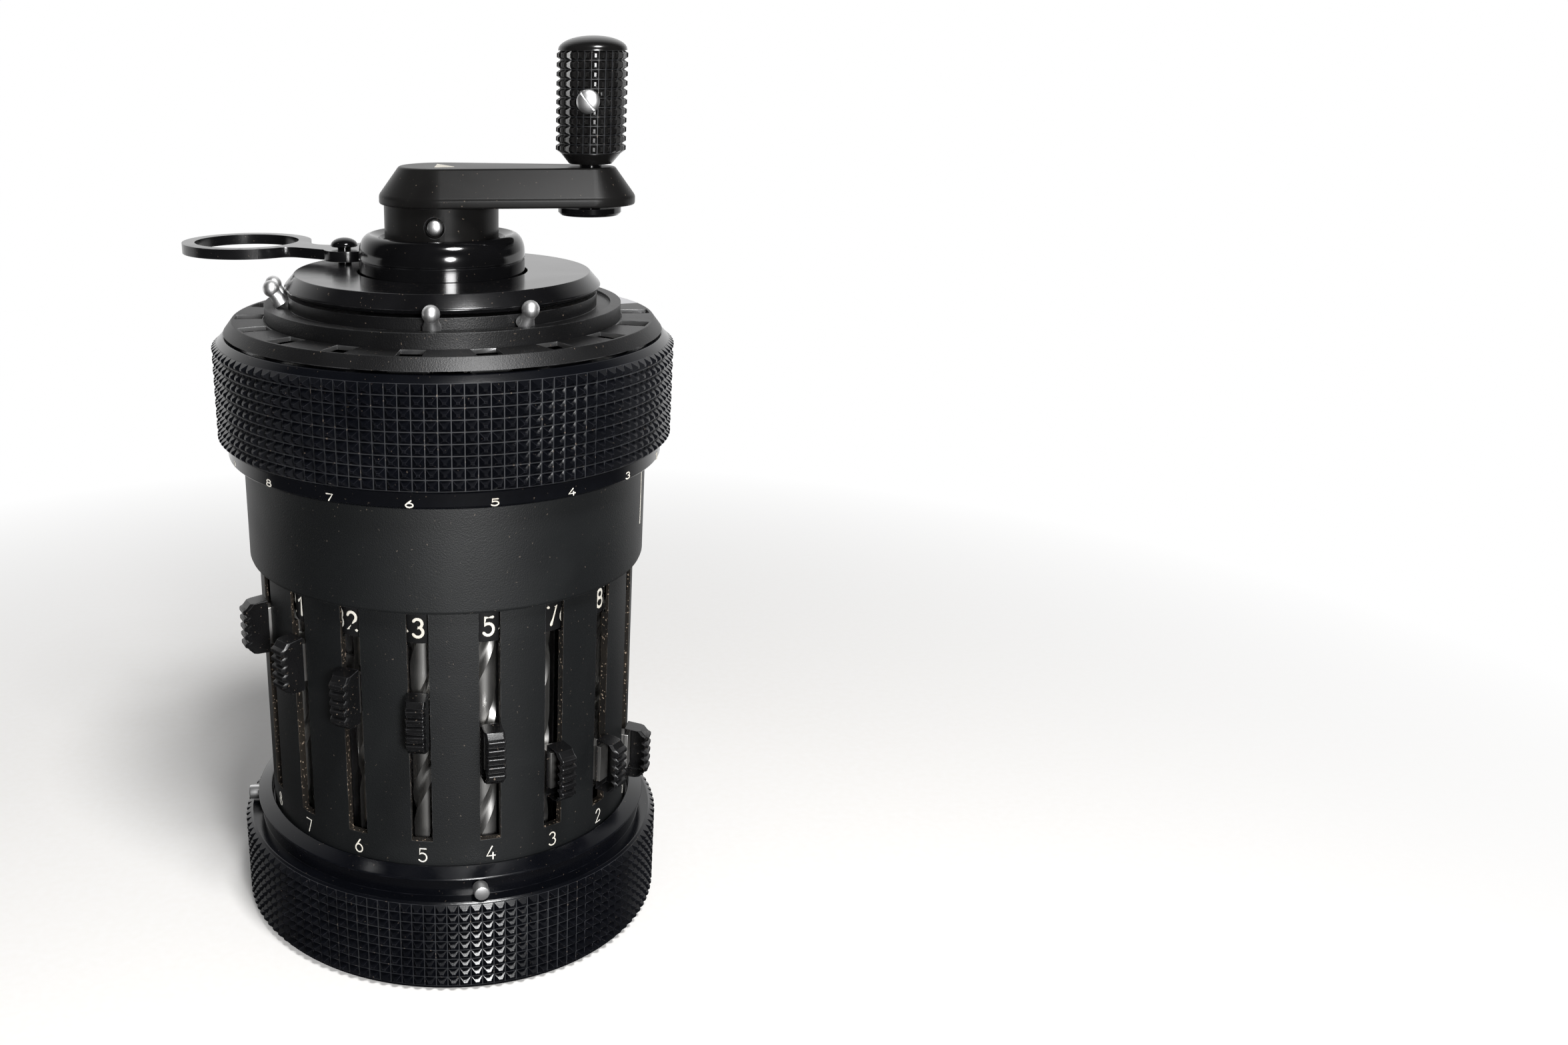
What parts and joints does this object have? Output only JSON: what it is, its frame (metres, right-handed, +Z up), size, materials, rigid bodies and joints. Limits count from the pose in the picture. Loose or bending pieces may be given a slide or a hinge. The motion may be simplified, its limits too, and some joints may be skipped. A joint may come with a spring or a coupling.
{
  "type": "mechanical pocket calculator",
  "caption": "Drum-shaped hand calculator with knurled rings, front setting sliders, a turning dial carriage with clearing lever, and a crank on top.",
  "frame": {"origin": "centre of the flat underside, on the machine's own axis", "axes": "+Z up along the crank shaft; -Y towards the setting sliders at the front; +X to the right, where the crank's knob rests"},
  "size_m": [0.0579, 0.0528, 0.104],
  "materials": {
    "body_black": "fine-grained satin black lacquer",
    "ring_black": "satin black over knurling",
    "cover_black": "matt dark grey-black",
    "plate_black": "fine satin black, faintly brushed",
    "gloss_black": "polished black",
    "crank_black": "semi-gloss black",
    "lever_black": "satin black",
    "knob_black": "moulded black, slightly worn",
    "dial_black": "black with white digits and bare edges",
    "silver": "turned, bright",
    "aluminium": "machined",
    "steel": "bright turned steel"
  },
  "bodies": {
    "root": {"housing": "body_black", "base_ring": "ring_black", "base_plate": "body_black", "upper_plate": "aluminium", "collar": "gloss_black", "carriage_spring": "steel"},
    "base_marker_1": {"base_marker_1": "silver"},
    "base_marker_2": {"base_marker_2": "silver"},
    "reversing_lever": {"reversing_lever": "knob_black"},
    "slider_1": {"slider_1": "knob_black"},
    "digit_shaft_1": {"digit_shaft_1": "steel"},
    "slider_2": {"slider_2": "knob_black"},
    "digit_shaft_2": {"digit_shaft_2": "steel"},
    "slider_3": {"slider_3": "knob_black"},
    "digit_shaft_3": {"digit_shaft_3": "steel"},
    "slider_4": {"slider_4": "knob_black"},
    "digit_shaft_4": {"digit_shaft_4": "steel"},
    "slider_5": {"slider_5": "knob_black"},
    "digit_shaft_5": {"digit_shaft_5": "steel"},
    "slider_6": {"slider_6": "knob_black"},
    "digit_shaft_6": {"digit_shaft_6": "steel"},
    "slider_7": {"slider_7": "knob_black"},
    "digit_shaft_7": {"digit_shaft_7": "steel"},
    "slider_8": {"slider_8": "knob_black"},
    "digit_shaft_8": {"digit_shaft_8": "steel"},
    "tens_bell": {"tens_bell": "aluminium"},
    "crank": {"main_shaft": "steel", "step_drum": "aluminium", "crank_arm": "crank_black", "crank_pin": "steel", "knob_axle": "gloss_black"},
    "knob": {"knob": "crank_black"},
    "carriage_washer": {"carriage_washer": "steel"},
    "carriage": {"carriage_shell": "ring_black", "carriage_cover": "cover_black"},
    "result_dial_1": {"result_dial_1": "dial_black"},
    "result_dial_2": {"result_dial_2": "dial_black"},
    "result_dial_3": {"result_dial_3": "dial_black"},
    "result_dial_4": {"result_dial_4": "dial_black"},
    "result_dial_5": {"result_dial_5": "dial_black"},
    "result_dial_6": {"result_dial_6": "dial_black"},
    "result_dial_7": {"result_dial_7": "dial_black"},
    "result_dial_8": {"result_dial_8": "dial_black"},
    "result_dial_9": {"result_dial_9": "dial_black"},
    "result_dial_10": {"result_dial_10": "dial_black"},
    "result_dial_11": {"result_dial_11": "dial_black"},
    "counter_dial_1": {"counter_dial_1": "dial_black"},
    "counter_dial_2": {"counter_dial_2": "dial_black"},
    "counter_dial_3": {"counter_dial_3": "dial_black"},
    "counter_dial_4": {"counter_dial_4": "dial_black"},
    "counter_dial_5": {"counter_dial_5": "dial_black"},
    "counter_dial_6": {"counter_dial_6": "dial_black"},
    "dial_marker_1": {"dial_marker_1": "silver"},
    "dial_marker_2": {"dial_marker_2": "silver"},
    "dial_marker_3": {"dial_marker_3": "silver"},
    "dial_marker_4": {"dial_marker_4": "silver"},
    "dial_marker_5": {"dial_marker_5": "silver"},
    "clearing_plate": {"clearing_plate": "plate_black", "lever_pivot": "gloss_black"},
    "clearing_lever": {"clearing_lever": "lever_black"}
  },
  "joints": [
    {"name": "base_marker_1_turn", "type": "hinge", "parent": "root", "child": "base_marker_1", "pos_m": [0, 0, 0.01285], "axis": [0, 0, 1], "range_deg": [-39, 126]},
    {"name": "base_marker_2_turn", "type": "hinge", "parent": "root", "child": "base_marker_2", "pos_m": [0, 0, 0.01285], "axis": [0, 0, 1], "range_deg": [-128, 47]},
    {"name": "reversing_slide", "type": "slide", "parent": "root", "child": "reversing_lever", "axis": [0, 0, 1], "range_m": [-0.005, 0]},
    {"name": "slider_1_slide", "type": "slide", "parent": "root", "child": "slider_1", "axis": [0, 0, 1], "range_m": [0, 0.018]},
    {"name": "digit_shaft_1_turn", "type": "hinge", "parent": "root", "child": "digit_shaft_1", "pos_m": [0.01802, -0.00656, 0.03], "axis": [0, 0, 1], "range_deg": [-325, 1]},
    {"name": "slider_2_slide", "type": "slide", "parent": "root", "child": "slider_2", "axis": [0, 0, 1], "range_m": [-0.002, 0.016]},
    {"name": "digit_shaft_2_turn", "type": "hinge", "parent": "root", "child": "digit_shaft_2", "pos_m": [0.01469, -0.01233, 0.03], "axis": [0, 0, 1], "range_deg": [-289, 37]},
    {"name": "slider_3_slide", "type": "slide", "parent": "root", "child": "slider_3", "axis": [0, 0, 1], "range_m": [-0.004, 0.014]},
    {"name": "digit_shaft_3_turn", "type": "hinge", "parent": "root", "child": "digit_shaft_3", "pos_m": [0.00959, -0.01661, 0.03], "axis": [0, 0, 1], "range_deg": [-253, 73]},
    {"name": "slider_4_slide", "type": "slide", "parent": "root", "child": "slider_4", "axis": [0, 0, 1], "range_m": [-0.008, 0.01]},
    {"name": "digit_shaft_4_turn", "type": "hinge", "parent": "root", "child": "digit_shaft_4", "pos_m": [0.00333, -0.01888, 0.03], "axis": [0, 0, 1], "range_deg": [-181, 145]},
    {"name": "slider_5_slide", "type": "slide", "parent": "root", "child": "slider_5", "axis": [0, 0, 1], "range_m": [-0.012, 0.006]},
    {"name": "digit_shaft_5_turn", "type": "hinge", "parent": "root", "child": "digit_shaft_5", "pos_m": [-0.00333, -0.01888, 0.03], "axis": [0, 0, 1], "range_deg": [-109, 217]},
    {"name": "slider_6_slide", "type": "slide", "parent": "root", "child": "slider_6", "axis": [0, 0, 1], "range_m": [-0.014, 0.004]},
    {"name": "digit_shaft_6_turn", "type": "hinge", "parent": "root", "child": "digit_shaft_6", "pos_m": [-0.00959, -0.01661, 0.03], "axis": [0, 0, 1], "range_deg": [-73, 253]},
    {"name": "slider_7_slide", "type": "slide", "parent": "root", "child": "slider_7", "axis": [0, 0, 1], "range_m": [-0.016, 0.002]},
    {"name": "digit_shaft_7_turn", "type": "hinge", "parent": "root", "child": "digit_shaft_7", "pos_m": [-0.01469, -0.01233, 0.03], "axis": [0, 0, 1], "range_deg": [-37, 289]},
    {"name": "slider_8_slide", "type": "slide", "parent": "root", "child": "slider_8", "axis": [0, 0, 1], "range_m": [-0.018, 0]},
    {"name": "digit_shaft_8_turn", "type": "hinge", "parent": "root", "child": "digit_shaft_8", "pos_m": [-0.01802, -0.00656, 0.03], "axis": [0, 0, 1], "range_deg": [-1, 325]},
    {"name": "crank_turn", "type": "hinge", "parent": "root", "child": "tens_bell", "pos_m": [0, 0, 0.05], "axis": [0, 0, 1], "continuous": true},
    {"name": "crank_lift", "type": "slide", "parent": "tens_bell", "child": "crank", "axis": [0, 0, 1], "range_m": [0, 0.003]},
    {"name": "knob_spin", "type": "hinge", "parent": "crank", "child": "knob", "pos_m": [0.01642, -0.00245, 0.095], "axis": [0, 0, 1], "continuous": true},
    {"name": "carriage_lift", "type": "slide", "parent": "root", "child": "carriage_washer", "axis": [0, 0, 1], "range_m": [0, 0.003], "stiffness_N_per_m": 400, "springref_m": -0.003, "deforming": ["carriage_spring"]},
    {"name": "carriage_turn", "type": "hinge", "parent": "carriage_washer", "child": "carriage", "pos_m": [0, 0, 0.0663], "axis": [0, 0, 1], "range_deg": [-20, 80]},
    {"name": "result_dial_1_turn", "type": "hinge", "parent": "carriage", "child": "result_dial_1", "pos_m": [0.0222, 0, 0.07005], "axis": [1, 0, 0], "continuous": true},
    {"name": "result_dial_2_turn", "type": "hinge", "parent": "carriage", "child": "result_dial_2", "pos_m": [0.02086, -0.00759, 0.07005], "axis": [0.9397, -0.342, 0], "continuous": true},
    {"name": "result_dial_3_turn", "type": "hinge", "parent": "carriage", "child": "result_dial_3", "pos_m": [0.01701, -0.01427, 0.07005], "axis": [0.766, -0.6428, 0], "continuous": true},
    {"name": "result_dial_4_turn", "type": "hinge", "parent": "carriage", "child": "result_dial_4", "pos_m": [0.0111, -0.01923, 0.07005], "axis": [0.5, -0.866, 0], "continuous": true},
    {"name": "result_dial_5_turn", "type": "hinge", "parent": "carriage", "child": "result_dial_5", "pos_m": [0.00385, -0.02186, 0.07005], "axis": [0.1736, -0.9848, 0], "continuous": true},
    {"name": "result_dial_6_turn", "type": "hinge", "parent": "carriage", "child": "result_dial_6", "pos_m": [-0.00385, -0.02186, 0.07005], "axis": [-0.1736, -0.9848, 0], "continuous": true},
    {"name": "result_dial_7_turn", "type": "hinge", "parent": "carriage", "child": "result_dial_7", "pos_m": [-0.0111, -0.01923, 0.07005], "axis": [-0.5, -0.866, 0], "continuous": true},
    {"name": "result_dial_8_turn", "type": "hinge", "parent": "carriage", "child": "result_dial_8", "pos_m": [-0.01701, -0.01427, 0.07005], "axis": [-0.766, -0.6428, 0], "continuous": true},
    {"name": "result_dial_9_turn", "type": "hinge", "parent": "carriage", "child": "result_dial_9", "pos_m": [-0.02086, -0.00759, 0.07005], "axis": [-0.9397, -0.342, 0], "continuous": true},
    {"name": "result_dial_10_turn", "type": "hinge", "parent": "carriage", "child": "result_dial_10", "pos_m": [-0.0222, 0, 0.07005], "axis": [-1, 0, 0], "continuous": true},
    {"name": "result_dial_11_turn", "type": "hinge", "parent": "carriage", "child": "result_dial_11", "pos_m": [-0.02086, 0.00759, 0.07005], "axis": [-0.9397, 0.342, 0], "continuous": true},
    {"name": "counter_dial_1_turn", "type": "hinge", "parent": "carriage", "child": "counter_dial_1", "pos_m": [-0.01427, 0.01701, 0.07005], "axis": [-0.6428, 0.766, 0], "continuous": true},
    {"name": "counter_dial_2_turn", "type": "hinge", "parent": "carriage", "child": "counter_dial_2", "pos_m": [-0.00759, 0.02086, 0.07005], "axis": [-0.342, 0.9397, 0], "continuous": true},
    {"name": "counter_dial_3_turn", "type": "hinge", "parent": "carriage", "child": "counter_dial_3", "pos_m": [0, 0.0222, 0.07005], "axis": [0, 1, 0], "continuous": true},
    {"name": "counter_dial_4_turn", "type": "hinge", "parent": "carriage", "child": "counter_dial_4", "pos_m": [0.00759, 0.02086, 0.07005], "axis": [0.342, 0.9397, 0], "continuous": true},
    {"name": "counter_dial_5_turn", "type": "hinge", "parent": "carriage", "child": "counter_dial_5", "pos_m": [0.01427, 0.01701, 0.07005], "axis": [0.6428, 0.766, 0], "continuous": true},
    {"name": "counter_dial_6_turn", "type": "hinge", "parent": "carriage", "child": "counter_dial_6", "pos_m": [0.01923, 0.0111, 0.07005], "axis": [0.866, 0.5, 0], "continuous": true},
    {"name": "dial_marker_1_turn", "type": "hinge", "parent": "carriage", "child": "dial_marker_1", "pos_m": [0, 0, 0.0765], "axis": [0, 0, 1], "range_deg": [-68, 34]},
    {"name": "dial_marker_2_turn", "type": "hinge", "parent": "carriage", "child": "dial_marker_2", "pos_m": [0, 0, 0.0765], "axis": [0, 0, 1], "range_deg": [-30, 0.5]},
    {"name": "dial_marker_3_turn", "type": "hinge", "parent": "carriage", "child": "dial_marker_3", "pos_m": [0, 0, 0.0765], "axis": [0, 0, 1], "range_deg": [-0.5, 34]},
    {"name": "dial_marker_4_turn", "type": "hinge", "parent": "carriage", "child": "dial_marker_4", "pos_m": [0, 0, 0.0765], "axis": [0, 0, 1], "range_deg": [-38, 9]},
    {"name": "dial_marker_5_turn", "type": "hinge", "parent": "carriage", "child": "dial_marker_5", "pos_m": [0, 0, 0.0765], "axis": [0, 0, 1], "range_deg": [-14, 91]},
    {"name": "clearing_turn", "type": "hinge", "parent": "carriage", "child": "clearing_plate", "pos_m": [0, 0, 0.078], "axis": [0, 0, 1], "continuous": true},
    {"name": "clearing_lever_fold", "type": "hinge", "parent": "clearing_plate", "child": "clearing_lever", "pos_m": [-0.01133, 0.0077, 0.08], "axis": [0, 0, 1], "range_deg": [0, 102]}
  ],
  "couplings": [
    {"joint": "digit_shaft_1_turn", "follows": "slider_1_slide", "rad_per_m": -314.16},
    {"joint": "digit_shaft_2_turn", "follows": "slider_2_slide", "rad_per_m": -314.16},
    {"joint": "digit_shaft_3_turn", "follows": "slider_3_slide", "rad_per_m": -314.16},
    {"joint": "digit_shaft_4_turn", "follows": "slider_4_slide", "rad_per_m": -314.16},
    {"joint": "digit_shaft_5_turn", "follows": "slider_5_slide", "rad_per_m": -314.16},
    {"joint": "digit_shaft_6_turn", "follows": "slider_6_slide", "rad_per_m": -314.16},
    {"joint": "digit_shaft_7_turn", "follows": "slider_7_slide", "rad_per_m": -314.16},
    {"joint": "digit_shaft_8_turn", "follows": "slider_8_slide", "rad_per_m": -314.16}
  ]
}
